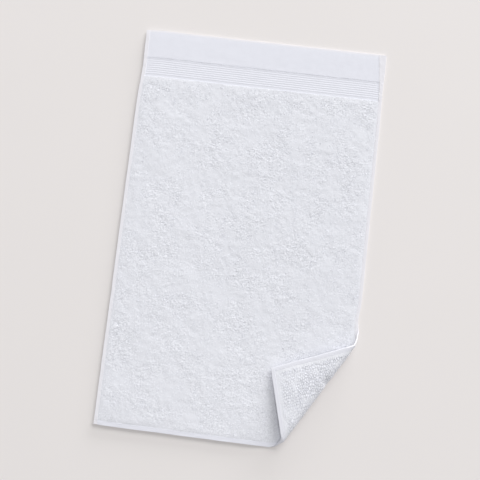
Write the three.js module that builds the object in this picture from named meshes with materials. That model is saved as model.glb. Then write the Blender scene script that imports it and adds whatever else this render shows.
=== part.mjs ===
// Bath towel: one piece of terry cloth, spread out flat, with its near right-hand corner
// turned over onto the face in a soft roll. Millimetres, +Z up. The towel lies along Y with
// its broad woven hem at +Y. The origin is under the middle of its outline, on the surface
// that it lies on.
import * as THREE from "three";
import { mergeVertices } from "three/addons/utils/BufferGeometryUtils.js";

// The cloth, spread out flat
const WIDTH = 740;
const LENGTH = 1200;
const HALF_WIDTH = WIDTH / 2;
const HALF_LENGTH = LENGTH / 2;

// Thickness from the underside to the face
const PILE_THICKNESS = 5;
const HEM_THICKNESS = 4.3;
const SEAM_THICKNESS = 3.4;
const BORDER_THICKNESS = 3.6;
const EDGE_THICKNESS = 3;
const EDGE_ROUND = 2.5; // how far in from an outer edge the cloth reaches its full thickness

// The far end: a plain hem, the seam that closes it, a ribbed border, then the pile
const HEM_DEPTH = 85;
const SEAM_WIDTH = 3;
const RIB_COUNT = 8;
const RIB_PITCH = 6.6;
const RIB_HEIGHT = 0.5;
const PLAIN_BAND = 6.7; // between the last rib and the pile
const PILE_STEP = 4; // run over which the pile rises out of the border

// How far each long side is drawn in, by the distance from the far end
const SIDE_DRAW = [
  { inset: 0, left: 3.5, right: 0.5 },
  { inset: 60, left: 5, right: 0.5 },
  { inset: 115, left: 6.5, right: 2 },
  { inset: 210, left: 1.5, right: 0 },
  { inset: LENGTH, left: 0, right: 0 },
];

// How far the near end is drawn in, from the left-hand corner to the right-hand one
const NEAR_END_DRAW = [
  { x: -HALF_WIDTH, draw: 4 },
  { x: 145, draw: 0 },
  { x: HALF_WIDTH, draw: 6 },
];

// How far the two ends ease back towards each corner that lies flat
const CORNER_EASE = { farLeft: 3.5, farRight: 1.5, nearLeft: 2 };
const CORNER_EASE_RUN = 60;

// The left-hand side and the near end stand a little off the surface
const EDGE_LIFT = 3.4;
const EDGE_LIFT_RUN = 340;
const SETTLED_RUN = 60; // beside the roll, the near end comes down again

// The turned corner. The roll starts on a straight line that runs from the near end of the
// cloth to its right-hand side. It is a flattened half round, narrower towards both ends.
const FOLD_UP_SIDE = 375; // from the corner, up the right-hand side
const FOLD_ALONG_END = 225; // from the corner, along the near end
const ROLL_HALF_WIDTH = [
  { along: 0, halfWidth: 9 }, // to the outside of the cloth
  { along: 30, halfWidth: 24 },
  { along: 374, halfWidth: 24 },
  { along: 404, halfWidth: 15 },
];
const ROLL_FLATNESS = 0.65; // its height as a share of its width
const TIP_CLEARANCE = 9; // between the tip of the corner and the face that it lies over
const FLAP_SKEW = 0.334; // how far the flap slides up the roll, per mm past its start
const FOLD_DRAW = { x: -4.4, y: 12, reach: 45 }; // pull on the side where the roll starts

// A dent in the roll, about midway along it, on its upper outer side
const DENT = { along: 238, run: 12, turn: 2.2, spread: 0.55, depth: 4.5 };

// Fineness of the mesh
const COLUMNS_ACROSS = 18;
const ROWS_IN_FIELD = 12;
const ROWS_BESIDE_FOLD = 24;
const FOLD_STEPS = [
  { upTo: 24, step: 3 },
  { upTo: 64, step: 5 },
  { upTo: 186, step: 12 },
];

const CORNER = new THREE.Vector2(HALF_WIDTH, -HALF_LENGTH);
const ROLL_AT_SIDE = new THREE.Vector2(HALF_WIDTH, -HALF_LENGTH + FOLD_UP_SIDE);
const ROLL_AT_END = new THREE.Vector2(HALF_WIDTH - FOLD_ALONG_END, -HALF_LENGTH);
const ALONG = ROLL_AT_SIDE.clone().sub(ROLL_AT_END).normalize();
const OUTWARD = new THREE.Vector2(ALONG.y, -ALONG.x);
const CORNER_PAST_ROLL = CORNER.clone().sub(ROLL_AT_END).dot(OUTWARD);

// The value of one column of a table at a distance along it, straight between its rows.
function lookUp(table, key, column, at) {
  for (let i = 1; i < table.length; i += 1) {
    const before = table[i - 1];
    const after = table[i];
    if (at <= after[key]) {
      const share = Math.max(0, (at - before[key]) / (after[key] - before[key]));
      return before[column] + share * (after[column] - before[column]);
    }
  }
  return table[table.length - 1][column];
}

// Thickness of the cloth by the distance in from the far end.
function farEndProfile() {
  const profile = [
    { inset: 0, thickness: EDGE_THICKNESS },
    { inset: EDGE_ROUND, thickness: HEM_THICKNESS },
    { inset: HEM_DEPTH - SEAM_WIDTH, thickness: HEM_THICKNESS },
    { inset: HEM_DEPTH, thickness: SEAM_THICKNESS },
  ];
  for (let rib = 0; rib < RIB_COUNT; rib += 1) {
    const start = HEM_DEPTH + rib * RIB_PITCH;
    profile.push({ inset: start + RIB_PITCH / 2, thickness: BORDER_THICKNESS + RIB_HEIGHT });
    profile.push({ inset: start + RIB_PITCH, thickness: BORDER_THICKNESS });
  }
  const borderEnd = HEM_DEPTH + RIB_COUNT * RIB_PITCH + PLAIN_BAND;
  profile.push({ inset: borderEnd, thickness: BORDER_THICKNESS });
  profile.push({ inset: borderEnd + PILE_STEP, thickness: PILE_THICKNESS });
  return profile;
}

const FAR_END = farEndProfile();

// Thickness anywhere on the flat cloth. The long sides and the near end are rounded.
function thicknessAt(x, y) {
  const woven = lookUp(FAR_END, "inset", "thickness", HALF_LENGTH - y);
  const fromEdge = Math.min(HALF_WIDTH - Math.abs(x), HALF_LENGTH + y);
  const share = Math.min(1, fromEdge / EDGE_ROUND);
  return Math.min(woven, EDGE_THICKNESS + share * (PILE_THICKNESS - EDGE_THICKNESS));
}

// The flat outline's small unevenness: drawn-in sides and near end, and eased corners.
function easeOutline(x, y) {
  const draw = lookUp(SIDE_DRAW, "inset", x < 0 ? "left" : "right", HALF_LENGTH - y);
  const nearRun = Math.max(0, Math.abs(x) - HALF_WIDTH + CORNER_EASE_RUN) / CORNER_EASE_RUN;
  const farEase = x < 0 ? CORNER_EASE.farLeft : CORNER_EASE.farRight;
  const nearEase = x < 0 ? CORNER_EASE.nearLeft : 0;
  const ease = (y > 0 ? farEase : nearEase) * nearRun ** 2;
  const nearShare = THREE.MathUtils.smoothstep(-y, 0, HALF_LENGTH);
  const nearDraw = lookUp(NEAR_END_DRAW, "x", "draw", x) * nearShare;
  return new THREE.Vector2(x * (1 - draw / HALF_WIDTH), y * (1 - ease / HALF_LENGTH) + nearDraw);
}

// A smooth hump: 1 at the centre, about a third at the reach to either side, then nothing.
function bell(value, centre, reach) {
  return Math.exp(-(((value - centre) / reach) ** 2));
}

// The section across the roll: how far out and how high a point lies that is `past` the
// start of the roll and `height` above the underside. The middle of the cloth follows half
// an ellipse, then droops in a slow curve towards the tip. The two faces lie square to it.
function rollSection(past, along, height) {
  const halfWidth = lookUp(ROLL_HALF_WIDTH, "along", "halfWidth", along);
  const radius = halfWidth - PILE_THICKNESS / 2;
  const halfRound = (Math.PI * radius * (1 + ROLL_FLATNESS)) / 2;
  const turn = Math.PI * Math.min(past / halfRound, 1);
  const run = Math.max(past - halfRound, 0);
  const longest = CORNER_PAST_ROLL - halfRound;
  const drop = Math.max(0, 2 * radius * ROLL_FLATNESS - PILE_THICKNESS - TIP_CLEARANCE);
  const droop = drop * (run / longest) ** 2;
  const slope = (2 * drop * run) / longest ** 2;
  const squareOut = ROLL_FLATNESS * Math.sin(turn) - slope;
  const squareUp = -Math.cos(turn);
  const offset = (PILE_THICKNESS / 2 - height) / Math.hypot(squareOut, squareUp);
  const dent = DENT.depth * bell(along, DENT.along, DENT.run) * bell(turn, DENT.turn, DENT.spread);
  const rise = ROLL_FLATNESS * (radius - dent) * (1 - Math.cos(turn));
  return {
    out: (radius - dent) * Math.sin(turn) - run + squareOut * offset,
    up: PILE_THICKNESS / 2 + rise - droop + squareUp * offset,
  };
}

// How far the left-hand side and the near end stand off the surface.
function edgeLift(x, y, past) {
  const left = 1 - THREE.MathUtils.smoothstep(HALF_WIDTH + x, 0, EDGE_LIFT_RUN);
  const near = 1 - THREE.MathUtils.smoothstep(HALF_LENGTH + y, 0, EDGE_LIFT_RUN);
  const settled = 1 - THREE.MathUtils.smoothstep(past, -SETTLED_RUN, 0);
  return EDGE_LIFT * (1 - (1 - left) * (1 - near * settled));
}

// Where a point of the flat cloth comes to lie, at `height` above the underside.
function place(x, y, height) {
  const eased = easeOutline(x, y);
  const fromRoll = eased.clone().sub(ROLL_AT_END);
  const past = fromRoll.dot(OUTWARD);
  const along = fromRoll.dot(ALONG);
  let placed = eased;
  let up = height;
  if (past > 0) {
    const section = rollSection(past, along, height);
    placed = ROLL_AT_END.clone().addScaledVector(OUTWARD, section.out);
    placed.addScaledVector(ALONG, along + FLAP_SKEW * past);
    up = section.up;
  }
  up += edgeLift(x, y, past);
  const pull = bell(eased.distanceTo(ROLL_AT_SIDE), 0, FOLD_DRAW.reach);
  return new THREE.Vector3(placed.x + pull * FOLD_DRAW.x, placed.y + pull * FOLD_DRAW.y, up);
}

// Even steps from one value to another, without the first.
function evenSteps(from, to, count) {
  return Array.from({ length: count }, (unused, i) => from + ((to - from) * (i + 1)) / count);
}

// The rows of the mesh, from the far end to the near end, as y values.
function rowsAboveFold() {
  const rows = FAR_END.map((row) => HALF_LENGTH - row.inset);
  return rows.concat(evenSteps(rows[rows.length - 1], ROLL_AT_SIDE.y, ROWS_IN_FIELD));
}

function rowsBesideFold() {
  const first = ROLL_AT_SIDE.y - EDGE_ROUND;
  const last = -HALF_LENGTH + EDGE_ROUND;
  return [first, ...evenSteps(first, last, ROWS_BESIDE_FOLD), -HALF_LENGTH];
}

// One row of the part that lies flat, from the left side to the right side or to the roll.
function groundRow(y) {
  const besideFold = y < ROLL_AT_SIDE.y;
  const share = (y - ROLL_AT_END.y) / (ROLL_AT_SIDE.y - ROLL_AT_END.y);
  const right = besideFold ? ROLL_AT_END.x + share * (HALF_WIDTH - ROLL_AT_END.x) : HALF_WIDTH;
  const inner = evenSteps(-HALF_WIDTH + EDGE_ROUND, right - EDGE_ROUND, COLUMNS_ACROSS);
  const xs = [-HALF_WIDTH, -HALF_WIDTH + EDGE_ROUND, ...inner, right];
  return xs.map((x) => new THREE.Vector2(x, y));
}

// One row of the turned corner, from the start of the roll to the tip.
function cornerRow(start) {
  const distances = [0];
  for (const stretch of FOLD_STEPS) {
    const from = distances[distances.length - 1];
    const count = Math.round((stretch.upTo - from) / stretch.step);
    distances.push(...evenSteps(from, stretch.upTo, count));
  }
  const longest = distances[distances.length - 1];
  return distances.map((distance) => start.clone().lerp(CORNER, distance / longest));
}

function under(point) {
  return place(point.x, point.y, 0);
}

function face(point) {
  return place(point.x, point.y, thicknessAt(point.x, point.y));
}

// Adds a triangle unless two of its corners are the same point, as at the tip.
function addTriangle(positions, a, b, c) {
  if (a.distanceTo(b) > 0 && b.distanceTo(c) > 0 && c.distanceTo(a) > 0) {
    positions.push(...a.toArray(), ...b.toArray(), ...c.toArray());
  }
}

// The face and the underside of a patch of rows of points.
function addPatch(positions, rows) {
  for (let i = 1; i < rows.length; i += 1) {
    for (let j = 1; j < rows[i].length; j += 1) {
      const farLeft = rows[i - 1][j - 1];
      const farRight = rows[i - 1][j];
      const nearLeft = rows[i][j - 1];
      const nearRight = rows[i][j];
      addTriangle(positions, face(farLeft), face(nearLeft), face(nearRight));
      addTriangle(positions, face(farLeft), face(nearRight), face(farRight));
      addTriangle(positions, under(nearRight), under(nearLeft), under(farLeft));
      addTriangle(positions, under(farRight), under(nearRight), under(farLeft));
    }
  }
}

// The narrow edge of the cloth, along its outline taken clockwise from above.
function addEdge(positions, outline) {
  outline.forEach((point, i) => {
    const next = outline[(i + 1) % outline.length];
    addTriangle(positions, face(point), face(next), under(next));
    addTriangle(positions, face(point), under(next), under(point));
  });
}

function towelGeometry() {
  const upperRows = rowsAboveFold().map(groundRow);
  const lowerRows = rowsBesideFold().map(groundRow);
  const ground = upperRows.concat(lowerRows);
  const foldStarts = [upperRows[upperRows.length - 1], ...lowerRows].map((row) => row[row.length - 1]);
  const corner = foldStarts.map(cornerRow);

  const rightSide = upperRows.slice(1).map((row) => row[row.length - 1]);
  const cornerSide = corner[0].slice(1);
  const cornerEnd = corner[corner.length - 1].slice(1, -1).reverse();
  const nearEnd = ground[ground.length - 1].slice().reverse();
  const leftSide = ground.slice(1, -1).map((row) => row[0]).reverse();
  const outline = [...ground[0], ...rightSide, ...cornerSide, ...cornerEnd, ...nearEnd, ...leftSide];

  const positions = [];
  addPatch(positions, ground);
  addPatch(positions, corner);
  addEdge(positions, outline);
  const soup = new THREE.BufferGeometry();
  soup.setAttribute("position", new THREE.Float32BufferAttribute(positions, 3));
  const geometry = mergeVertices(soup, 0.001);
  geometry.computeVertexNormals();
  return geometry;
}

function towelMesh() {
  const terry = new THREE.MeshStandardMaterial({ color: 0xe3e5ec, roughness: 0.95, metalness: 0 });
  const mesh = new THREE.Mesh(towelGeometry(), terry);
  mesh.name = "towel";
  return mesh;
}

const group = new THREE.Group();
group.add(towelMesh());

export default group;
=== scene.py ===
"""A white cotton bath towel, spread out flat with its near right-hand corner turned over.

The CAD model gives the size and the frame: metres, +Z up, the broad woven hem at +Y. Every
point of the towel is named by its place on the flat cloth, u across and v along, and by its
height above the underside. place() then lays it down and rolls the corner over.
"""
import math

import bpy
import numpy as np
from mathutils import Matrix, Vector


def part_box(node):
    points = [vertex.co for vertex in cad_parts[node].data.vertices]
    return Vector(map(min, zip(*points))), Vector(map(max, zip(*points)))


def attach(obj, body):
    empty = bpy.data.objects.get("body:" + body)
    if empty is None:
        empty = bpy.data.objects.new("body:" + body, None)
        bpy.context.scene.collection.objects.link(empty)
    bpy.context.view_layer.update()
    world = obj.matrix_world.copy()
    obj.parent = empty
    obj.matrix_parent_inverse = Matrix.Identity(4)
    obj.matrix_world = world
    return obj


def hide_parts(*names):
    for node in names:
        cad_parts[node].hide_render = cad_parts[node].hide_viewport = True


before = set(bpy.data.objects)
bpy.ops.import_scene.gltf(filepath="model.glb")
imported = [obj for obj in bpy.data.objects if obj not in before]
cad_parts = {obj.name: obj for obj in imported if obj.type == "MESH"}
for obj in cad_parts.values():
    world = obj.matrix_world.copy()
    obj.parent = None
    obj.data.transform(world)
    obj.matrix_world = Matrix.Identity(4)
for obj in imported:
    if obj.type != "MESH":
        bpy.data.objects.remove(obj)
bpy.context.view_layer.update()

MM = 0.001

# The cloth, spread out flat. Its size comes from the CAD model.
LOW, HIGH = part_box("towel")
WIDTH = HIGH.x - LOW.x
LENGTH = HIGH.y - LOW.y
BEND_HEIGHT = 2.5 * MM  # of the layer that keeps its length where the cloth bends

# How far the outline is drawn in and eased, as in the CAD model
DRAW_INSET = np.array([0, 60 * MM, 115 * MM, 210 * MM, LENGTH])  # in from the far end
DRAW_LEFT = np.array([3.5, 5, 6.5, 1.5, 0]) * MM
DRAW_RIGHT = np.array([0.5, 0.5, 2, 0, 0]) * MM
NEAR_END_U = np.array([-WIDTH / 2, 145 * MM, WIDTH / 2])  # it isn't quite square to the sides
NEAR_END_DRAW = np.array([4, 0, 6]) * MM
FAR_LEFT_EASE = 3.5 * MM
FAR_RIGHT_EASE = 1.5 * MM
NEAR_LEFT_EASE = 2 * MM
CORNER_EASE_RUN = 60 * MM

# The slight wobble of a sewn edge
EDGE_WOBBLE = 0.5 * MM
WOBBLE_SIZE = 34 * MM

# The turned corner, as in the CAD model apart from the roll's end at the side, 3 mm wider here
FOLD_UP_SIDE = 375 * MM  # from the corner, up the right-hand side
FOLD_ALONG_END = 225 * MM  # from the corner, along the near end
ROLL_ALONG = np.array([0, 30, 374, 404]) * MM  # from the near end
ROLL_RADIUS = np.array([9, 24, 24, 18]) * MM  # half the roll's width
ROLL_FLATNESS = 0.65  # its height as a share of its width
TIP_HEIGHT = 16.5 * MM  # of the layer at BEND_HEIGHT, at the tip of the corner
DROOP_POWER = 2  # the flap sinks towards its tip in a parabola
FLAP_SKEW = 0.334  # how far the flap slides up the roll, as a share of the way past its start
DRAW_AT_ROLL = np.array([-4.4, 12]) * MM  # pull in x and y on the side where the roll starts
DRAW_REACH = 45 * MM

# A dent in the roll, about midway along it, on its upper outer side
DENT_ALONG = 238 * MM
DENT_RUN = 12 * MM
DENT_TURN = 2.2  # radians round the roll
DENT_SPREAD = 0.55
DENT_DEPTH = 4.5 * MM

ROLL_AT_SIDE = np.array([WIDTH / 2, -LENGTH / 2 + FOLD_UP_SIDE])
ROLL_AT_END = np.array([WIDTH / 2 - FOLD_ALONG_END, -LENGTH / 2])
ROLL_LENGTH = np.linalg.norm(ROLL_AT_SIDE - ROLL_AT_END)
ALONG = (ROLL_AT_SIDE - ROLL_AT_END) / ROLL_LENGTH
OUTWARD = np.array([ALONG[1], -ALONG[0]])
CORNER_PAST_ROLL = (np.array([WIDTH / 2, -LENGTH / 2]) - ROLL_AT_END) @ OUTWARD

# The left-hand side and the near end stand a little off the floor, as in the CAD model
EDGE_LIFT = 3.4 * MM
EDGE_LIFT_RUN = 340 * MM
SETTLED_RUN = 60 * MM  # beside the roll, the near end comes down again

# Heights above the underside
MIDDLE = 2.7 * MM  # inside the ground cloth, where the backs of the pile's shells are hidden
GROUND_UNDER = 1.5 * MM
GROUND_FACE = 4.0 * MM
HEM_UNDER = 0.45 * MM
HEM_FACE = 4.8 * MM  # of the narrow hems
FAR_HEM_FACE = 4.3 * MM
BORDER_FACE = 3.8 * MM
BORDER_UNDER = 0.6 * MM
EDGE_ROUND = 2.4 * MM  # how far in from an outer edge its rounding reaches
EDGE_DROP = 0.06 * MM
EDGE_RISE_UNDER = 0.6 * MM

# The narrow hems along both sides and the near end
SIDE_HEM = 9.5 * MM
SIDE_HEM_AT_FAR_RIGHT = 22 * MM  # the hem's end is tucked in at a slant there
SIDE_HEM_SLANT_RUN = 115 * MM
NEAR_HEM = 12.5 * MM
HEM_END_RUN = 1.5 * MM  # in which a hem comes down to the ground cloth
HEM_FOLD_RISE = 0.1 * MM  # a narrow hem is thickest along its outer fold
PUCKER_HEIGHT = 0.2 * MM
PUCKER_SIZE = 6 * MM
SEAM_INSET = 1 * MM  # from a hem's inner end back to its seam
SEAM_HALF_WIDTH = 0.9 * MM
SEAM_DEPTH = 0.3 * MM
SEAM_DEPTH_UNDER = 0.24 * MM

# The broad hem at the far end
FAR_HEM = 85 * MM
FAR_HEM_CROWN = 0.28 * MM  # how much lower its outer edge is than the rest
FAR_HEM_CROWN_RUN = 17 * MM
FAR_HEM_CROWN_POWER = 1.3
DIMPLE_DEPTH = 0.12 * MM
DIMPLE_SIZE = 16 * MM
CREASE_DEPTH = 0.1 * MM
CREASE_SIZE = 7 * MM
CREASE_STRETCH = 4  # a crease is this much longer than wide
FAR_SEAM_HALF_WIDTH = 1.3 * MM
FAR_SEAM_DEPTH = 0.3 * MM
RIM = 4 * MM  # the outermost threads are paler
RIM_RUN = 2 * MM

# The ribbed border
RIB_COUNT = 8
RIB_PITCH = 6.6 * MM
RIB_HEIGHT = 0.32 * MM
PLAIN_BAND = 6.7 * MM  # between the last rib and the pile
RIBS_END = FAR_HEM + RIB_COUNT * RIB_PITCH
BORDER_END = RIBS_END + PLAIN_BAND

# The cloth's mesh: where its outermost lines lie, in from an edge, and the steps between the rest
EDGE_LINES = [0, 0.15, 0.5, 1.2, 2.4, 4, 5.5, 7]
SIDE_LINES = np.array(EDGE_LINES + [7.8, 8.3, 8.8, 9.3, 9.8, 10.4, 11.2, 12.5]) * MM
NEAR_LINES = np.array(EDGE_LINES + [8.5, 10, 10.8, 11.3, 11.8, 12.3, 12.8, 13.5, 14.5, 16]) * MM
FAR_LINES = np.array(EDGE_LINES) * MM
STEP_ACROSS = 10 * MM
STEP_ALONG = 13 * MM
STEP_AT_FOLD = 4 * MM
STEP_AT_SLANT = 2.2 * MM
STEP_IN_BORDER = RIB_PITCH / 8  # eight lines to a rib
STEP_AT_FAR_SEAM = 0.5 * MM
STEP_IN_FAR_HEM = 4 * MM
FOLD_MARGIN_ACROSS = 8 * MM  # how far past the fold its finer lines go on
FOLD_MARGIN_ALONG = 20 * MM
SLANT_MARGIN = 10 * MM
FAR_SEAM_BAND = 4 * MM  # to either side of the seam
CLOTH_BACK_SHADE = 0.75  # three quarters of the way from the rim's colour to the woven cloth's

# The face's pile
PILE_STEP = 2 * MM  # between points of its mesh
FACE_STRIPS = 3  # it is made in strips, so that no piece is too heavy
BACK_STEP_AT_ROLL = 2  # the hidden back keeps every second line where it follows the roll
BACK_STEP = 8
POINT_JITTER = 0.3  # how far a point is moved at random, as a share of the step
PILE_FACE = 5.4 * MM  # mean height of the loops
PILE_RISE_AT_SIDE = 6 * MM  # runs in which it comes up to that height
PILE_RISE_AT_BORDER = 7 * MM
PILE_DIP_AT_SIDE = 0.8 * MM  # how much lower it starts
PILE_DIP_AT_BORDER = 0.4 * MM
LOOP_RELIEF = 0.3 * MM
LOOP_SCATTER = 2.2  # a loop's height differs by at most this many times the relief
LOOP_SPACING = 3.6 * MM
GAP_DEPTH = 0.25 * MM
GAP_WIDTH = 0.22  # as a share of the spacing
CLUMP_RELIEF = 0.35 * MM
CLUMP_SIZE = 13 * MM
SWELL_RELIEF = 0.5 * MM
SWELL_SIZE = 75 * MM
FINE_SWELL = 0.6  # a second, smaller swell, as shares of the first one's relief and size
FINE_SWELL_SIZE = 1 / 2.3
PATCH_SIZE = 42 * MM  # patches of stirred and of smoothed pile
STIRRED_MEAN = 0.69  # how rough the pile is: 0 smooth, 1 fully stirred
STIRRED_RANGE = 0.6
STIRRED_FINE_RANGE = 0.25

# The underside's pile
UNDER_STEP = 1.5 * MM  # between points of its mesh at the turned corner
UNDER_STEP_HIDDEN = 12 * MM
UNDER_BACK_STEP = 2
FINE_MARGIN = 10 * MM  # how far past the fold the fine mesh goes on
PILE_UNDER = 0.7 * MM  # mean height of the loops' tips
PILE_START_UNDER = 0.85 * MM  # their height where they meet a hem or the border
PILE_RISE_UNDER = 3 * MM
FLOOR_CLEARANCE = 0.1 * MM
HIDDEN_RELIEF = 0.05 * MM  # of the loops that lie on the floor
RAISED_FROM = 4 * MM  # past the start of the roll, where the loops come off the floor
RAISED_BY = 25 * MM  # and where they are well clear of it
FLAP_RELIEF = 0.22 * MM
FLAP_SCATTER = 2
FLAP_LOOP_REACH = 1.5 * MM  # how much farther out the loops may stand where they are off the floor
FLAP_LOOP_SPACING = 7 * MM
FLAP_GAP_DEPTH = 0.8 * MM
FLAP_STIRRED_MEAN = 0.97
FLAP_STIRRED_MOST = 1.2
FLAP_SMOOTH_BAND = 34 * MM  # beside the near hem the underside's loops are pressed flat
FLAP_SMOOTH_AT_SIDE = 13 * MM  # and beside the side hem they are short

# Painted shade: how far the pile's colour goes from the loops' tips to the darker shade between them
PILE_SHADE = 0.29
GAP_SHADE = 0.14
STIRRED_SHADE = 0.04  # stirred loops are paler by this
TALL_LOOP_SHADE = 0.125  # tall loops are painted paler by this, as if lit more
FLAP_SHADE = 0.015
# painted shade in the gaps between the underside's loops
FLAP_GAP_SHADE = 0.95
# the pressed band beside the near hem is painted darker by this
FLAP_PRESSED_SHADE = 0.255
# painted shade at a loop's feet, where it goes into the pile
LOOP_FOOT_SHADE = 0.35

# Single loops that stand up out of the pile
FACE_LOOPS = 6500
FACE_LOOP_SIZE = 1.15 * MM
FACE_LOOPS_END = 5 * MM  # past the start of the roll
FLAP_LOOPS = 3000
FLAP_LOOP_SIZE = 1.2 * MM
FLAP_LOOPS_START = 9 * MM  # past the start of the roll
LOOP_YARN = 0.42  # the yarn's radius as a share of the loop's size
LOOP_SEGMENTS = 3
LOOP_YARN_SIDES = 3
LOOP_MARGIN = 3 * MM  # from the hems
LOOP_MARGIN_AT_BORDER = 2 * MM
LOOP_FOOT = 0.7 * MM  # how far a loop's feet lie below the pile's mean height

# Stitches
STITCH_PITCH = 3.2 * MM
STITCH_HALF_LENGTH = 1.35 * MM
STITCH_RISE = 0.45 * MM
STITCH_SEGMENTS = 4
THREAD_RADIUS = 0.3 * MM
THREAD_SIDES = 5
STITCH_FOOT = 0.1 * MM  # above the cloth
STITCH_FOOT_UNDER = 0.05 * MM
STITCHES_END = 4 * MM  # in from the cloth's edge
STITCHES_UNDER_START = 12 * MM  # past the start of the roll

# Colours. Of a pair, a noise mixes the darker and the paler one.
TIP_COLOURS = (0.862, 0.871, 0.922), (0.895, 0.903, 0.949)
# painted shade: the dark colour that stands for the shade between the loops
PAINTED_SHADE_BETWEEN_LOOPS = (0.5, 0.51, 0.56)
WOVEN_COLOURS = (0.75, 0.758, 0.823), (0.789, 0.798, 0.863)
RIM_COLOUR = (0.806, 0.796, 0.838)
THREAD_COLOURS = (0.82, 0.83, 0.87), (0.87, 0.875, 0.91)
FLOOR_COLOURS = (0.782, 0.751, 0.74), (0.798, 0.765, 0.755)

# Light. A panel's heading goes from the far end towards the right. Degrees, metres and watts.
PANEL_DISTANCE = 30
PANELS = {
    "overhead_panel": {"heading": 30, "elevation": 84, "width": 10, "height": 10, "power": 2270},
    "far_panel": {"heading": 27, "elevation": 31, "width": 24, "height": 12, "power": 5200},
    "low_panel": {"heading": 19, "elevation": 8, "width": 24, "height": 6, "power": 7200},
}
SURROUND = 0.37  # strength of the even light from all round
FLOOR_HALF_WIDTH = 15

# Camera: nearly straight down, from a little over the near end
CAMERA_AT = Vector((0.0403, -0.1735, 1.9841))
CAMERA_FORWARD = Vector((-0.0242, 0.0819, -0.9963))
CAMERA_UP = Vector((-0.1149, 0.9898, 0.0842))
CAMERA_LENS = 50
CAMERA_SENSOR = 36

NOISE_CELLS = 256  # a noise repeats after this many cells


def smooth_step(value, start, end):
    """0 up to start, 1 from end, smooth between."""
    share = np.clip((value - start) / (end - start), 0, 1)
    return share * share * (3 - 2 * share)


def bell(value, centre, half_width):
    """1 at the centre, falling off smoothly to 0 on both sides."""
    return np.exp(-(((value - centre) / half_width) ** 2))


def soft_noise(u, v, size, seed):
    """Smooth noise from -1 to 1, with blobs about `size` across."""
    cells = NOISE_CELLS
    lattice = np.random.default_rng(seed).uniform(-1, 1, (cells, cells))
    x = u / size + cells
    y = v / size + cells
    column = np.floor(x).astype(int)
    row = np.floor(y).astype(int)
    across = smooth_step(x - column, 0, 1)
    up = smooth_step(y - row, 0, 1)
    near = lattice[row % cells, column % cells] * (1 - across)
    near = near + lattice[row % cells, (column + 1) % cells] * across
    far = lattice[(row + 1) % cells, column % cells] * (1 - across)
    far = far + lattice[(row + 1) % cells, (column + 1) % cells] * across
    return near * (1 - up) + far * up


def gaps_between(u, v, size, seed):
    """1 in the gaps between loops that stand about `size` apart, and 0 on their tops."""
    cells = NOISE_CELLS
    shift_u, shift_v = np.random.default_rng(seed).uniform(0.1, 0.9, (2, cells, cells))
    x = u / size + cells
    y = v / size + cells
    nearest = np.full(u.shape, np.inf)
    second = np.full(u.shape, np.inf)
    for across in (-1, 0, 1):
        for up in (-1, 0, 1):
            column = np.floor(x).astype(int) + across
            row = np.floor(y).astype(int) + up
            centre_x = column + shift_u[row % cells, column % cells]
            centre_y = row + shift_v[row % cells, column % cells]
            distance = np.hypot(x - centre_x, y - centre_y)
            second = np.minimum(second, np.maximum(nearest, distance))
            nearest = np.minimum(nearest, distance)
    return bell(second - nearest, 0, GAP_WIDTH)


# ---- Where a point of the flat cloth comes to lie ----


def ease_outline(u, v):
    """The flat outline's small unevenness: drawn-in sides, eased corners and a slight wobble."""
    inset = LENGTH / 2 - v
    draw_left = np.interp(inset, DRAW_INSET, DRAW_LEFT)
    draw_right = np.interp(inset, DRAW_INSET, DRAW_RIGHT)
    draw = np.where(u < 0, draw_left, draw_right)
    near_side = np.clip((np.abs(u) - WIDTH / 2 + CORNER_EASE_RUN) / CORNER_EASE_RUN, 0, None)
    far_ease = np.where(u < 0, FAR_LEFT_EASE, FAR_RIGHT_EASE)
    near_ease = np.where(u < 0, NEAR_LEFT_EASE, 0)
    ease = np.where(v > 0, far_ease, near_ease) * near_side**2
    beside = smooth_step(np.abs(u), WIDTH / 2 - CORNER_EASE_RUN, WIDTH / 2)
    at_end = smooth_step(np.abs(v), LENGTH / 2 - CORNER_EASE_RUN, LENGTH / 2)
    side_wobble = beside * soft_noise(v, np.sign(u), WOBBLE_SIZE, 11)
    end_wobble = at_end * soft_noise(u, np.sign(v), WOBBLE_SIZE, 12)
    x = u * (1 - draw / (WIDTH / 2)) + EDGE_WOBBLE * side_wobble
    near_draw = np.interp(u, NEAR_END_U, NEAR_END_DRAW) * smooth_step(-v, 0, LENGTH / 2)
    y = v * (1 - ease / (LENGTH / 2)) + near_draw + EDGE_WOBBLE * end_wobble
    return x, y


def roll_section(past, along, height):
    """How far out from the roll's start, and how high, a point past that start comes to lie."""
    radius = np.interp(along, ROLL_ALONG, ROLL_RADIUS) - BEND_HEIGHT
    half_round = np.pi * radius * (1 + ROLL_FLATNESS) / 2
    turn = np.pi * np.minimum(past / half_round, 1)
    run = np.maximum(past - half_round, 0)
    longest = CORNER_PAST_ROLL - half_round
    drop = np.maximum(BEND_HEIGHT + 2 * radius * ROLL_FLATNESS - TIP_HEIGHT, 0)
    droop = drop * (run / longest) ** DROOP_POWER
    slope = DROOP_POWER * drop / longest * (run / longest) ** (DROOP_POWER - 1)
    outward = ROLL_FLATNESS * np.sin(turn) - slope
    upward = -np.cos(turn)
    offset = (BEND_HEIGHT - height) / np.hypot(outward, upward)
    radius = radius - DENT_DEPTH * bell(along, DENT_ALONG, DENT_RUN) * bell(turn, DENT_TURN, DENT_SPREAD)
    out = radius * np.sin(turn) - run + outward * offset
    up = BEND_HEIGHT + ROLL_FLATNESS * radius * (1 - np.cos(turn)) - droop + upward * offset
    return out, up


def past_roll(u, v):
    """How far a flat point lies past the start of the roll, and along it from the near end."""
    x, y = ease_outline(u, v)
    from_x = x - ROLL_AT_END[0]
    from_y = y - ROLL_AT_END[1]
    return from_x * OUTWARD[0] + from_y * OUTWARD[1], from_x * ALONG[0] + from_y * ALONG[1]


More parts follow.
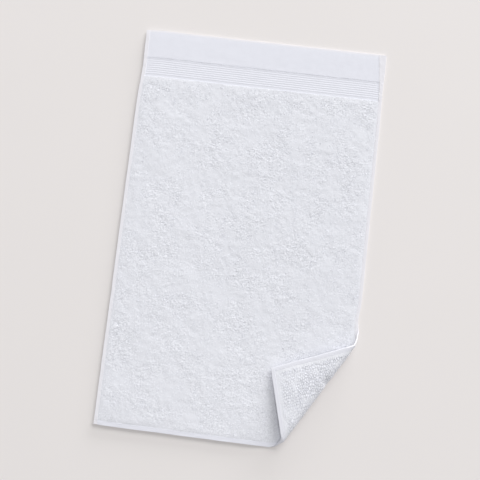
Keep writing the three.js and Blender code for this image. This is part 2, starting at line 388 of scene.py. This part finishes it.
def edge_lift(u, v):
    """How far the left-hand side and the near end stand off the floor."""
    left = 1 - smooth_step(u + WIDTH / 2, 0, EDGE_LIFT_RUN)
    near = 1 - smooth_step(v + LENGTH / 2, 0, EDGE_LIFT_RUN)
    settled = 1 - smooth_step(past_roll(u, v)[0], -SETTLED_RUN, 0)
    return EDGE_LIFT * (1 - (1 - left) * (1 - near * settled))


def place(u, v, height):
    """The points, as an array of rows of x, y and z."""
    x, y = ease_outline(u, v)
    past, along = past_roll(u, v)
    turned = past > 0
    out, up = roll_section(np.maximum(past, 0), along, height)
    slid = along + FLAP_SKEW * past
    placed_x = np.where(turned, ROLL_AT_END[0] + OUTWARD[0] * out + ALONG[0] * slid, x)
    placed_y = np.where(turned, ROLL_AT_END[1] + OUTWARD[1] * out + ALONG[1] * slid, y)
    placed_z = np.where(turned, up, height) + edge_lift(u, v)
    pull = bell(np.hypot(x - ROLL_AT_SIDE[0], y - ROLL_AT_SIDE[1]), 0, DRAW_REACH)
    placed = [placed_x + pull * DRAW_AT_ROLL[0], placed_y + pull * DRAW_AT_ROLL[1], placed_z]
    return np.stack([part.ravel() for part in placed], axis=1)


# ---- Heights of the cloth and of its pile ----


def distances(u, v):
    """Distances in from the nearer long side, the near end and the far end."""
    return WIDTH / 2 - np.abs(u), v + LENGTH / 2, LENGTH / 2 - v


def side_hem_width(u, far):
    """The side hem's width, which grows towards the far right-hand corner."""
    slant = np.clip(1 - far / SIDE_HEM_SLANT_RUN, 0, 1) * (u > 0)
    return SIDE_HEM + slant * (SIDE_HEM_AT_FAR_RIGHT - SIDE_HEM)


def narrow_hem(side, near, hem_width):
    """1 on the hems along the sides and the near end, and 0 past their inner ends."""
    in_side = 1 - smooth_step(side, hem_width, hem_width + HEM_END_RUN)
    in_near = 1 - smooth_step(near, NEAR_HEM, NEAR_HEM + HEM_END_RUN)
    return np.maximum(in_side, in_near)


def narrow_seam(side, near, hem_width):
    """1 along the seams of the same hems, and 0 away from them."""
    along_side = bell(side, hem_width - SEAM_INSET, SEAM_HALF_WIDTH) * (near > NEAR_HEM - SEAM_INSET)
    return np.maximum(along_side, bell(near, NEAR_HEM - SEAM_INSET, SEAM_HALF_WIDTH))


def far_hem_height(u, v, far):
    """The face of the broad hem, a little lower at its outer edge and not quite even."""
    crown = FAR_HEM_CROWN * (1 - far / FAR_HEM_CROWN_RUN).clip(0, 1) ** FAR_HEM_CROWN_POWER
    dimples = DIMPLE_DEPTH * soft_noise(u, v, DIMPLE_SIZE, 31)
    creases = CREASE_DEPTH * soft_noise(u, v / CREASE_STRETCH, CREASE_SIZE, 32)
    return FAR_HEM_FACE - crown + dimples + creases


def border_height(far):
    """The face of the border: the ribs, then a plain band."""
    ribs = np.sin(np.pi * (far - FAR_HEM) / RIB_PITCH) ** 2 * (far < RIBS_END)
    return BORDER_FACE + RIB_HEIGHT * ribs


def swell(u, v):
    """The slow rise and fall of a cloth that isn't quite flat."""
    broad = soft_noise(u, v, SWELL_SIZE, 21)
    fine = soft_noise(u, v, SWELL_SIZE * FINE_SWELL_SIZE, 22)
    return SWELL_RELIEF * (broad + FINE_SWELL * fine)


def edge_round(u, v):
    """From 1 at the cloth's outer edge to 0 a little way in, in a quarter round."""
    side, near, far = distances(u, v)
    share = np.clip(np.minimum(np.minimum(side, near), far) / EDGE_ROUND, 0, 1)
    return 1 - np.sqrt(1 - (1 - share) ** 2)


def face_height(u, v):
    """The face of the ground cloth, with its hems, seams and ribbed border."""
    side, near, far = distances(u, v)
    hem_width = side_hem_width(u, far)
    woven_end = np.where(far < FAR_HEM, far_hem_height(u, v, far), border_height(far))
    height = np.where(far < BORDER_END, woven_end, GROUND_FACE)
    height = height - FAR_SEAM_DEPTH * bell(far, FAR_HEM, FAR_SEAM_HALF_WIDTH)
    inward = np.minimum(side / hem_width, near / NEAR_HEM).clip(0, 1)
    rise = HEM_FOLD_RISE * hem_width / SIDE_HEM * (1 - inward) ** 2
    pucker = PUCKER_HEIGHT * soft_noise(u, v, PUCKER_SIZE, 33)
    in_hem = narrow_hem(side, near, hem_width)
    height = height * (1 - in_hem) + (HEM_FACE + rise + pucker) * in_hem
    height = height - SEAM_DEPTH * narrow_seam(side, near, hem_width)
    return height - EDGE_DROP * edge_round(u, v)


def under_height(u, v):
    """The underside of the ground cloth."""
    side, near, far = distances(u, v)
    height = np.where(far < BORDER_END, np.where(far < FAR_HEM, HEM_UNDER, BORDER_UNDER), GROUND_UNDER)
    in_hem = narrow_hem(side, near, SIDE_HEM)
    height = height * (1 - in_hem) + HEM_UNDER * in_hem
    height = height + SEAM_DEPTH_UNDER * narrow_seam(side, near, SIDE_HEM)
    return height + EDGE_RISE_UNDER * edge_round(u, v)


def pile_rise(u, v, run_at_hem):
    """From 0 where the pile meets a hem or the border to 1 where it stands at its full height."""
    side, near, far = distances(u, v)
    from_hem = np.clip(np.minimum(side - SIDE_HEM, near - NEAR_HEM), 0, None)
    from_border = np.clip(far - BORDER_END, 0, None)
    return (1 - np.exp(-from_hem / run_at_hem)) * (1 - np.exp(-from_border / PILE_RISE_AT_BORDER))


def pile_dip(u, v):
    """How much lower the face's pile stands beside a hem and the border."""
    side, near, far = distances(u, v)
    from_hem = np.clip(np.minimum(side - SIDE_HEM, near - NEAR_HEM), 0, None)
    from_border = np.clip(far - BORDER_END, 0, None)
    at_side = PILE_DIP_AT_SIDE * np.exp(-from_hem / PILE_RISE_AT_SIDE)
    return at_side + PILE_DIP_AT_BORDER * np.exp(-from_border / PILE_RISE_AT_BORDER)


def raised_share(u, v):
    """1 where the underside is turned up and shows, 0 where it lies on the floor."""
    return smooth_step(past_roll(u, v)[0], RAISED_FROM, RAISED_BY)


def pressed_and_upright(u, v):
    """How far the underside's loops are pressed flat beside the near hem, and how far they stand."""
    side, near, far = distances(u, v)
    pressed = 1 - smooth_step(near, NEAR_HEM, NEAR_HEM + FLAP_SMOOTH_BAND)
    return pressed, (1 - pressed) * smooth_step(side, SIDE_HEM, SIDE_HEM + FLAP_SMOOTH_AT_SIDE)


# ---- Meshes ----


def graded(stops):
    """Positions from the first stop to the last. Each stop is (position, step up to the next)."""
    lines = []
    for (start, step), (end, unused) in zip(stops, stops[1:]):
        count = max(1, math.ceil((end - start) / step - 1e-6))
        lines.extend(start + (end - start) * i / count for i in range(count))
    lines.append(stops[-1][0])
    return np.array(lines)


def kept_behind(rows, columns, step):
    """Which points of a shell's back are kept: all of its rim, and inside it every step-th."""
    row_kept = np.arange(rows) % step == 0
    column_kept = np.arange(columns) % step == 0
    row_kept[-1] = True
    column_kept[-1] = True
    kept = row_kept[:, None] & column_kept[None, :]
    kept[0] = kept[-1] = True
    kept[:, 0] = kept[:, -1] = True
    return kept, np.flatnonzero(row_kept), np.flatnonzero(column_kept)


def shell_faces(rows, columns, step):
    """Faces of a closed shell. Its front has rows x columns points, and its back fewer."""
    front = np.arange(rows * columns).reshape(rows, columns)
    quads = [front[:-1, :-1], front[:-1, 1:], front[1:, 1:], front[1:, :-1]]
    faces = np.stack(quads, axis=-1).reshape(-1, 4).tolist()
    kept, row_lines, column_lines = kept_behind(rows, columns, step)
    back = np.full((rows, columns), -1)
    back[kept] = rows * columns + np.arange(kept.sum())
    rim = [(0, j) for j in range(columns - 1)] + [(i, columns - 1) for i in range(rows - 1)]
    rim += [(rows - 1, j) for j in range(columns - 1, 0, -1)] + [(i, 0) for i in range(rows - 1, 0, -1)]
    for a, b in zip(rim, rim[1:] + rim[:1]):
        faces.append([int(front[b]), int(front[a]), int(back[a]), int(back[b])])
    for i0, i1 in zip(row_lines, row_lines[1:]):
        for j0, j1 in zip(column_lines, column_lines[1:]):
            left = back[i0:i1 + 1, j0] if j0 == 0 else back[[i0, i1], j0]
            top = back[i1, j0:j1 + 1] if i1 == rows - 1 else back[i1, [j0, j1]]
            right = back[i0:i1 + 1, j1] if j1 == columns - 1 else back[[i0, i1], j1]
            bottom = back[i0, j0:j1 + 1] if i0 == 0 else back[i0, [j0, j1]]
            faces.append([*left[:-1], *top[:-1], *right[:0:-1], *bottom[:0:-1]])
    return [[int(k) for k in face] for face in faces], kept


def make_piece(name, flat, faces, shade, material):
    """A mesh piece from its points' flat places and heights.

    It keeps those as attributes, with each point's shade: 0 for the first colour of its material and 1
    for the second. On the pile and its loops that is painted shade; on the woven cloth it picks the
    paler rim.
    """
    mesh = bpy.data.meshes.new(name)
    points = place(flat[:, 0], flat[:, 1], flat[:, 2])
    mesh.from_pydata(points.tolist(), [], faces)
    mesh.polygons.foreach_set("use_smooth", [True] * len(mesh.polygons))
    mesh.attributes.new("flat", "FLOAT_VECTOR", "POINT").data.foreach_set("vector", flat.ravel())
    mesh.attributes.new("shade", "FLOAT", "POINT").data.foreach_set("value", shade)
    mesh.set_sharp_from_angle(angle=math.radians(70))
    mesh.materials.append(material)
    piece = bpy.data.objects.new(name, mesh)
    bpy.context.scene.collection.objects.link(piece)
    return piece


def make_shell(name, u, v, front, back, shade, back_shade, step, material, turned_over=False):
    """A closed shell over a grid of flat points, between its front and its back heights.

    The back keeps every step-th point. Faces are made for a front that looks up.
    """
    faces, kept = shell_faces(*u.shape, step)
    if turned_over:
        faces = [face[::-1] for face in faces]
    front_points = np.stack([u.ravel(), v.ravel(), front.ravel()], axis=1)
    back_points = np.stack([u[kept], v[kept], back[kept]], axis=1)
    flat = np.concatenate([front_points, back_points])
    shades = np.concatenate([shade.ravel(), np.full(kept.sum(), back_shade)])
    return make_piece(name, flat, faces, shades, material)


def cloth_columns():
    """Where the lines that run along the cloth lie: close together in the hems."""
    left = -WIDTH / 2 + SIDE_LINES
    right = WIDTH / 2 - SIDE_LINES[::-1]
    fold = WIDTH / 2 - FOLD_ALONG_END - FOLD_MARGIN_ACROSS
    slanted = WIDTH / 2 - SIDE_HEM_AT_FAR_RIGHT - SLANT_MARGIN
    stops = [(left[-1], STEP_ACROSS), (fold, STEP_AT_FOLD), (slanted, STEP_AT_SLANT), (right[0], 1)]
    return np.concatenate([left[:-1], graded(stops), right[1:]])


def cloth_rows():
    """Where the lines that run across it lie: close together in the hems, the seam and the ribs."""
    near = -LENGTH / 2 + NEAR_LINES
    fold = -LENGTH / 2 + FOLD_UP_SIDE + FOLD_MARGIN_ALONG
    border = LENGTH / 2 - BORDER_END
    seam = LENGTH / 2 - FAR_HEM
    outer = LENGTH / 2 - FAR_LINES[::-1]
    stops = [(near[-1], STEP_AT_FOLD), (fold, STEP_ALONG), (border, STEP_IN_BORDER)]
    stops += [(seam - FAR_SEAM_BAND, STEP_AT_FAR_SEAM), (seam + FAR_SEAM_BAND, STEP_IN_FAR_HEM)]
    stops += [(outer[0], 1)]
    return np.concatenate([near[:-1], graded(stops), outer[1:]])


def make_cloth(material):
    """The woven ground cloth with its hems, as one closed sheet."""
    u, v = np.meshgrid(cloth_columns(), cloth_rows())
    side, near, far = distances(u, v)
    inside_rim = smooth_step(np.minimum(side - side_hem_width(u, far), far - RIM), 0, RIM_RUN)
    face = face_height(u, v)
    under = under_height(u, v)
    return make_shell("towel_cloth", u, v, face, under, inside_rim, CLOTH_BACK_SHADE, 1, material)


def jittered(lines_u, lines_v, seed):
    """A grid of flat points, each moved a little at random inside the grid's border."""
    random = np.random.default_rng(seed)
    u, v = np.meshgrid(lines_u, lines_v)
    step_u = np.gradient(lines_u)[None, :]
    step_v = np.gradient(lines_v)[:, None]
    inside = np.zeros(u.shape)
    inside[1:-1, 1:-1] = POINT_JITTER
    u = u + inside * step_u * random.uniform(-1, 1, u.shape)
    v = v + inside * step_v * random.uniform(-1, 1, v.shape)
    return u, v


def face_pile(u, v):
    """Heights and painted shades of the face's looped pile: loops, clumps, and stirred and smooth
    patches.
    """
    scatter = np.random.default_rng(42).normal(0, 1, u.shape).clip(-LOOP_SCATTER, LOOP_SCATTER)
    gaps = gaps_between(u, v, LOOP_SPACING, 45)
    stirred = STIRRED_MEAN + STIRRED_RANGE * soft_noise(u, v, PATCH_SIZE, 46)
    stirred = stirred + STIRRED_FINE_RANGE * soft_noise(u, v, PATCH_SIZE / 3, 47)
    relief = stirred * (LOOP_RELIEF * scatter - GAP_DEPTH * gaps)
    relief = relief + CLUMP_RELIEF * soft_noise(u, v, CLUMP_SIZE, 43)
    height = PILE_FACE - pile_dip(u, v) + pile_rise(u, v, PILE_RISE_AT_SIDE) * (relief + swell(u, v))
    # painted shade: darker in the gaps between the loops, paler on the tall loops
    shade = PILE_SHADE + stirred * (GAP_SHADE * gaps - STIRRED_SHADE - TALL_LOOP_SHADE * scatter)
    return height, np.clip(shade, 0, 1)


def make_face_pile(material):
    """The face's looped pile, in strips from the near end to the far end."""
    columns = graded([(-WIDTH / 2 + SIDE_HEM, PILE_STEP), (WIDTH / 2 - SIDE_HEM, 1)])
    rows = graded([(-LENGTH / 2 + NEAR_HEM, PILE_STEP), (LENGTH / 2 - BORDER_END, 1)])
    u, v = jittered(columns, rows, 41)
    front, shade = face_pile(u, v)
    back = np.full(u.shape, MIDDLE)
    pieces = []
    cuts = np.linspace(0, len(rows) - 1, FACE_STRIPS + 1).astype(int)
    for strip, (start, end) in enumerate(zip(cuts, cuts[1:])):
        name = f"towel_pile_face_{strip + 1}"
        step = BACK_STEP_AT_ROLL if strip == 0 else BACK_STEP
        lines = slice(start, end + 1)
        grids = [grid[lines] for grid in (u, v, front, back, shade)]
        pieces.append(make_shell(name, *grids, 1, step, material))
    return pieces


def under_pile(u, v):
    """Heights and painted shades of the underside's pile, which stands up only on the turned corner."""
    raised = raised_share(u, v)
    pressed, upright = pressed_and_upright(u, v)
    standing = raised * upright
    stirred = FLAP_STIRRED_MEAN + STIRRED_RANGE * soft_noise(u, v, PATCH_SIZE / 2, 57)
    stirred = np.clip(stirred, 0, FLAP_STIRRED_MOST)
    gaps = standing * stirred * gaps_between(u, v, FLAP_LOOP_SPACING, 53)
    scatter = np.random.default_rng(52).normal(0, 1, u.shape).clip(-FLAP_SCATTER, FLAP_SCATTER)
    relief = (HIDDEN_RELIEF + standing * (FLAP_RELIEF - HIDDEN_RELIEF)) * scatter
    relief = relief + raised * CLUMP_RELIEF * soft_noise(u, v, CLUMP_SIZE, 54) - FLAP_GAP_DEPTH * gaps
    rise = pile_rise(u, v, PILE_RISE_UNDER)
    height = PILE_START_UNDER - rise * (PILE_START_UNDER - PILE_UNDER + relief)
    height = np.maximum(height, FLOOR_CLEARANCE - raised * FLAP_LOOP_REACH)
    # painted shade in the gaps between the loops, and the pressed band beside the near hem painted
    # darker
    shade = np.clip(FLAP_GAP_SHADE * gaps + FLAP_SHADE + FLAP_PRESSED_SHADE * pressed, 0, 1)
    return height, shade


def make_under_pile(material):
    """The underside's pile, fine where the turned corner shows it."""
    left = -WIDTH / 2 + SIDE_HEM
    fold_u = WIDTH / 2 - FOLD_ALONG_END - FINE_MARGIN
    right = WIDTH / 2 - SIDE_HEM
    near = -LENGTH / 2 + NEAR_HEM
    fold_v = -LENGTH / 2 + FOLD_UP_SIDE + FINE_MARGIN
    far = LENGTH / 2 - BORDER_END
    columns = graded([(left, UNDER_STEP_HIDDEN), (fold_u, UNDER_STEP), (right, 1)])
    rows = graded([(near, UNDER_STEP), (fold_v, UNDER_STEP_HIDDEN), (far, 1)])
    u, v = jittered(columns, rows, 51)
    front, shade = under_pile(u, v)
    back = np.full(u.shape, MIDDLE)
    name = "towel_pile_under"
    return make_shell(name, u, v, front, back, shade, 1, UNDER_BACK_STEP, material, turned_over=True)


# ---- Loops and stitches: short arches of yarn ----


def yarn_arches(name, places, shape, yarn, base, side, material):
    """Arches of yarn that stand on the cloth, as one piece.

    places: u, v and heading of each arch's middle
    shape: half the span, the rise and the sideways lean of each
    yarn: radius, segments along an arch and sides around it
    base: height of each arch's feet
    side: 1 on the face, -1 on the underside
    """
    u, v, angle = [values[:, None, None] for values in places]
    half_span, rise, lean = [values[:, None, None] for values in shape]
    radius, segments, sides = yarn
    count = len(u)
    t = np.linspace(0, np.pi, segments + 1)[None, :, None]
    around = np.arange(sides) * 2 * np.pi / sides
    around = around[None, None, :]
    slope_length = np.hypot(half_span * np.sin(t), rise * np.cos(t)) + 1e-9
    normal_forward = -rise * np.cos(t) / slope_length
    normal_up = half_span * np.sin(t) / slope_length
    along = -half_span * np.cos(t) + radius * np.cos(around) * normal_forward
    across = lean * np.sin(t) + radius * np.sin(around)
    up = rise * np.sin(t) + radius * np.cos(around) * normal_up
    flat_u = u + along * np.cos(angle) - across * np.sin(angle)
    flat_v = v + along * np.sin(angle) + across * np.cos(angle)
    height = base[:, None, None] + side * up
    flat = np.stack([flat_u.ravel(), flat_v.ravel(), height.ravel()], axis=1)
    index = np.arange(count * (segments + 1) * sides).reshape(count, segments + 1, sides)
    following = np.roll(index, -1, axis=2)
    quads = [index[:, :-1], following[:, :-1], following[:, 1:], index[:, 1:]]
    faces = np.stack(quads, axis=-1).reshape(-1, 4).tolist()
    faces += index[:, 0, ::-1].tolist() + index[:, -1].tolist()
    if side < 0:
        faces = [face[::-1] for face in faces]
    # painted shade at each arch's feet, where it meets the pile; the thread's material does not use it
    shade = np.repeat(np.clip(LOOP_FOOT_SHADE * (1 - np.sin(t)), 0, 1), count, axis=0)
    shade = np.repeat(shade, sides, axis=2).ravel()
    return make_piece(name, flat, faces, shade, material)


def loops_on(name, u, v, base, side, size, seed, material):
    """Loops that stand up out of the pile, each turned and leaning its own way."""
    random = np.random.default_rng(seed)
    count = len(u)
    angle = random.uniform(0, 2 * np.pi, count)
    half_span = size * random.uniform(0.7, 1.5, count)
    rise = size * random.uniform(1.0, 1.7, count)
    lean = size * random.uniform(-1, 1, count)
    yarn = (LOOP_YARN * size, LOOP_SEGMENTS, LOOP_YARN_SIDES)
    return yarn_arches(name, (u, v, angle), (half_span, rise, lean), yarn, base, side, material)


def make_face_loops(material):
    """Loops over the whole of the face that shows."""
    random = np.random.default_rng(61)
    side = WIDTH / 2 - SIDE_HEM - LOOP_MARGIN
    near = -LENGTH / 2 + NEAR_HEM + LOOP_MARGIN
    far = LENGTH / 2 - BORDER_END - LOOP_MARGIN_AT_BORDER
    u = random.uniform(-side, side, FACE_LOOPS)
    v = random.uniform(near, far, FACE_LOOPS)
    showing = past_roll(u, v)[0] < FACE_LOOPS_END
    u, v = u[showing], v[showing]
    rise = pile_rise(u, v, PILE_RISE_AT_SIDE)
    base = GROUND_FACE + rise * (PILE_FACE - LOOP_FOOT - GROUND_FACE + swell(u, v))
    return loops_on("towel_loops_face", u, v, base, 1, FACE_LOOP_SIZE, 62, material)


def make_flap_loops(material):
    """Loops on the turned-up underside, fewer where its pile is pressed or short."""
    random = np.random.default_rng(71)
    side = WIDTH / 2 - SIDE_HEM - LOOP_MARGIN
    near = -LENGTH / 2 + NEAR_HEM + LOOP_MARGIN
    u = random.uniform(WIDTH / 2 - FOLD_ALONG_END, side, FLAP_LOOPS)
    v = random.uniform(near, -LENGTH / 2 + FOLD_UP_SIDE, FLAP_LOOPS)
    upright = pressed_and_upright(u, v)[1]
    turned_up = past_roll(u, v)[0] > FLAP_LOOPS_START
    showing = turned_up & (random.uniform(0, 1, FLAP_LOOPS) < upright)
    u, v = u[showing], v[showing]
    base = np.full(len(u), PILE_UNDER + LOOP_FOOT)
    return loops_on("towel_loops_flap", u, v, base, -1, FLAP_LOOP_SIZE, 72, material)


def stitch_run(start, end):
    """The middles and headings of stitches from one flat point to another."""
    start = np.array(start)
    end = np.array(end)
    count = int(np.linalg.norm(end - start) / STITCH_PITCH)
    share = (np.arange(count) + 0.5)[:, None] / count
    middles = start + share * (end - start)
    angle = math.atan2(*(end - start)[::-1])
    return middles[:, 0], middles[:, 1], np.full(count, angle)


def row_of_stitches(name, places, base, side, material):
    """One row of stitches, each a short flat arch of thread."""
    count = len(base)
    shape = np.full(count, STITCH_HALF_LENGTH), np.full(count, STITCH_RISE), np.zeros(count)
    yarn = (THREAD_RADIUS, STITCH_SEGMENTS, THREAD_SIDES)
    return yarn_arches(name, places, shape, yarn, base, side, material)


def make_stitches(material):
    """The rows of stitches that close the hems, on the face and on the underside."""
    right = WIDTH / 2 - SIDE_HEM + SEAM_INSET
    near = -LENGTH / 2 + NEAR_HEM - SEAM_INSET
    seam = LENGTH / 2 - FAR_HEM
    slant_v = LENGTH / 2 - SIDE_HEM_SLANT_RUN
    slant_u = WIDTH / 2 - SIDE_HEM_AT_FAR_RIGHT + SEAM_INSET
    last_u = WIDTH / 2 - STITCHES_END
    last_v = LENGTH / 2 - STITCHES_END
    runs = {
        "left": ((-right, near), (-right, last_v)),
        "right": ((right, near), (right, slant_v)),
        "slant": ((right, slant_v), (slant_u, last_v)),
        "near": ((-last_u, near), (last_u, near)),
        "far": ((-right, seam), (right, seam)),
    }
    pieces = []
    for run, (start, end) in runs.items():
        u, v, angle = stitch_run(start, end)
        base = face_height(u, v) + STITCH_FOOT
        pieces.append(row_of_stitches(f"towel_stitches_{run}", (u, v, angle), base, 1, material))
        if run in ("right", "near"):
            turned_up = past_roll(u, v)[0] > STITCHES_UNDER_START
            u, v, angle = u[turned_up], v[turned_up], angle[turned_up]
            base = under_height(u, v) - STITCH_FOOT_UNDER
            name = f"towel_stitches_{run}_under"
            pieces.append(row_of_stitches(name, (u, v, angle), base, -1, material))
    return pieces


# ---- Materials ----


class Look:
    """A new material, with short ways to add and join its nodes. Scales are per metre."""

    def __init__(self, name, roughness, sheen=0):
        self.material = bpy.data.materials.new(name)
        self.material.use_nodes = True
        self.tree = self.material.node_tree
        self.shader = self.tree.nodes["Principled BSDF"]
        self.shader.inputs["Roughness"].default_value = roughness
        self.shader.inputs["Sheen Weight"].default_value = sheen
        self.shader.inputs["Sheen Roughness"].default_value = 0.5
        self.shader.inputs["Specular IOR Level"].default_value = 0.25

    def add(self, kind, **settings):
        """A node, with settings of its own and values of its inputs."""
        node = self.tree.nodes.new("ShaderNode" + kind)
        for key, value in settings.items():
            if hasattr(node, key):
                setattr(node, key, value)
            else:
                node.inputs[key].default_value = value
        return node

    def join(self, output, socket):
        """A link from an output to an input."""
        self.tree.links.new(output, socket)

    def set_shader(self, name, output):
        """A link from an output to the shader's input of that name."""
        self.join(output, self.shader.inputs[name])

    def flat_place(self):
        """A point's place on the flat cloth, in metres."""
        return self.add("Attribute", attribute_name="flat").outputs["Vector"]

    def shade(self):
        """The shade that the mesh gives to a point."""
        return self.add("Attribute", attribute_name="shade").outputs["Fac"]

    def noise(self, where, scale, detail=2.0):
        """A soft cloudy pattern, from 0 to 1."""
        node = self.add("TexNoise", Scale=scale, Detail=detail)
        self.join(where, node.inputs["Vector"])
        return node.outputs["Fac"]

    def wave(self, where, direction, scale):
        """Slightly uneven stripes across one direction, from 0 to 1."""
        node = self.add("TexWave", bands_direction=direction, Scale=scale, Distortion=0.6)
        self.join(where, node.inputs["Vector"])
        return node.outputs["Fac"]

    def product(self, first, second):
        """The first value times the second."""
        node = self.add("Math", operation="MULTIPLY")
        self.join(first, node.inputs[0])
        self.join(second, node.inputs[1])
        return node.outputs[0]

    def spread(self, value, low, high):
        """The value, from 0 to 1, spread over low to high."""
        node = self.add("MapRange")
        node.inputs["To Min"].default_value = low
        node.inputs["To Max"].default_value = high
        self.join(value, node.inputs["Value"])
        return node.outputs["Result"]

    def mix(self, share, first, second):
        """From the first colour to the second. Each is a colour or an output."""
        node = self.add("Mix", data_type="RGBA")
        sockets = [socket for socket in node.inputs if socket.type == "RGBA"]
        for socket, colour in zip(sockets, (first, second)):
            if isinstance(colour, bpy.types.NodeSocket):
                self.join(colour, socket)
            else:
                socket.default_value = (*colour, 1)
        self.join(share, node.inputs["Factor"])
        return [socket for socket in node.outputs if socket.type == "RGBA"][0]

    def bump(self, height, strength, distance):
        """A fine relief on the surface."""
        node = self.add("Bump", Strength=strength, Distance=distance)
        self.join(height, node.inputs["Height"])
        self.set_shader("Normal", node.outputs["Normal"])


def terry_material():
    """Looped cotton: pale tips, with painted shade, darker and bluer, between the loops."""
    look = Look("terry", roughness=0.95, sheen=0.15)
    where = look.flat_place()
    tips = look.mix(look.noise(where, 18), *TIP_COLOURS)
    # the mesh's shade mixes the painted shade into the tips' colour
    look.set_shader("Base Color", look.mix(look.shade(), tips, PAINTED_SHADE_BETWEEN_LOOPS))
    look.set_shader("Roughness", look.spread(look.noise(where, 300), 0.88, 1))
    look.bump(look.noise(where, 700, detail=3), strength=0.5, distance=0.5 * MM)
    return look.material


def woven_material():
    """The plain woven cloth of the hems and border, paler along its rim."""
    look = Look("woven_hem", roughness=0.85, sheen=0.1)
    where = look.flat_place()
    inner = look.mix(look.noise(where, 40, detail=3), *WOVEN_COLOURS)
    look.set_shader("Base Color", look.mix(look.shade(), RIM_COLOUR, inner))
    weave = look.product(look.wave(where, "X", 140), look.wave(where, "Y", 140))
    look.bump(weave, strength=0.35, distance=0.3 * MM)
    return look.material


def thread_material():
    """The sewing thread, with fine flecks."""
    look = Look("thread", roughness=0.7, sheen=0.05)
    where = look.flat_place()
    look.set_shader("Base Color", look.mix(look.noise(where, 500), *THREAD_COLOURS))
    look.bump(look.noise(where, 1500), strength=0.3, distance=0.2 * MM)
    return look.material


def floor_material():
    """A pale, matt, slightly cloudy floor."""
    look = Look("floor_pale", roughness=0.9)
    where = look.add("TexCoord").outputs["Object"]
    look.set_shader("Base Color", look.mix(look.noise(where, 3, detail=4), *FLOOR_COLOURS))
    return look.material


# ---- Floor, light and camera ----


def make_floor():
    """One large flat face."""
    half = FLOOR_HALF_WIDTH
    mesh = bpy.data.meshes.new("floor")
    corners = [(-half, -half, 0), (half, -half, 0), (half, half, 0), (-half, half, 0)]
    mesh.from_pydata(corners, [], [(0, 1, 2, 3)])
    mesh.materials.append(floor_material())
    floor = bpy.data.objects.new("floor", mesh)
    bpy.context.scene.collection.objects.link(floor)


def make_panel(name, heading, elevation, width, height, power):
    """A soft oval panel of light that faces the towel and that the camera doesn't see."""
    flat_part = math.cos(math.radians(elevation))
    sideways = math.sin(math.radians(heading)) * flat_part
    away = math.cos(math.radians(heading)) * flat_part
    direction = Vector((sideways, away, math.sin(math.radians(elevation))))
    panel = bpy.data.lights.new(name, "AREA")
    panel.shape = "ELLIPSE"
    panel.size = width
    panel.size_y = height
    panel.energy = power
    lamp = bpy.data.objects.new(name, panel)
    lamp.location = direction * PANEL_DISTANCE
    lamp.rotation_euler = direction.to_track_quat("Z", "Y").to_euler()
    lamp.visible_camera = False
    bpy.context.scene.collection.objects.link(lamp)


def make_lights():
    """Soft panels above and beyond the towel, and an even pale surround."""
    for name, panel in PANELS.items():
        make_panel(name, **panel)
    world = bpy.data.worlds.new("surround")
    world.use_nodes = True
    background = world.node_tree.nodes["Background"]
    background.inputs["Color"].default_value = (1, 1, 1, 1)
    background.inputs["Strength"].default_value = SURROUND
    bpy.context.scene.world = world


def make_camera():
    """The photograph's viewing angle."""
    data = bpy.data.cameras.new("camera")
    data.lens = CAMERA_LENS
    data.sensor_width = CAMERA_SENSOR
    camera = bpy.data.objects.new("camera", data)
    forward = CAMERA_FORWARD.normalized()
    right = forward.cross(CAMERA_UP).normalized()
    up = right.cross(forward)
    turn = Matrix((right, up, -forward)).transposed().to_4x4()
    camera.matrix_world = Matrix.Translation(CAMERA_AT) @ turn
    bpy.context.scene.collection.objects.link(camera)
    bpy.context.scene.camera = camera
    bpy.context.scene.view_settings.view_transform = "Standard"


make_camera()
make_lights()
make_floor()

terry = terry_material()
woven = woven_material()
thread = thread_material()

cloth = make_cloth(woven)
on_cloth = make_face_pile(terry)
on_cloth.append(make_under_pile(terry))
on_cloth.append(make_face_loops(terry))
on_cloth.append(make_flap_loops(terry))
on_cloth += make_stitches(thread)

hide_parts("towel")
for piece in [cloth, *on_cloth]:
    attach(piece, "root")
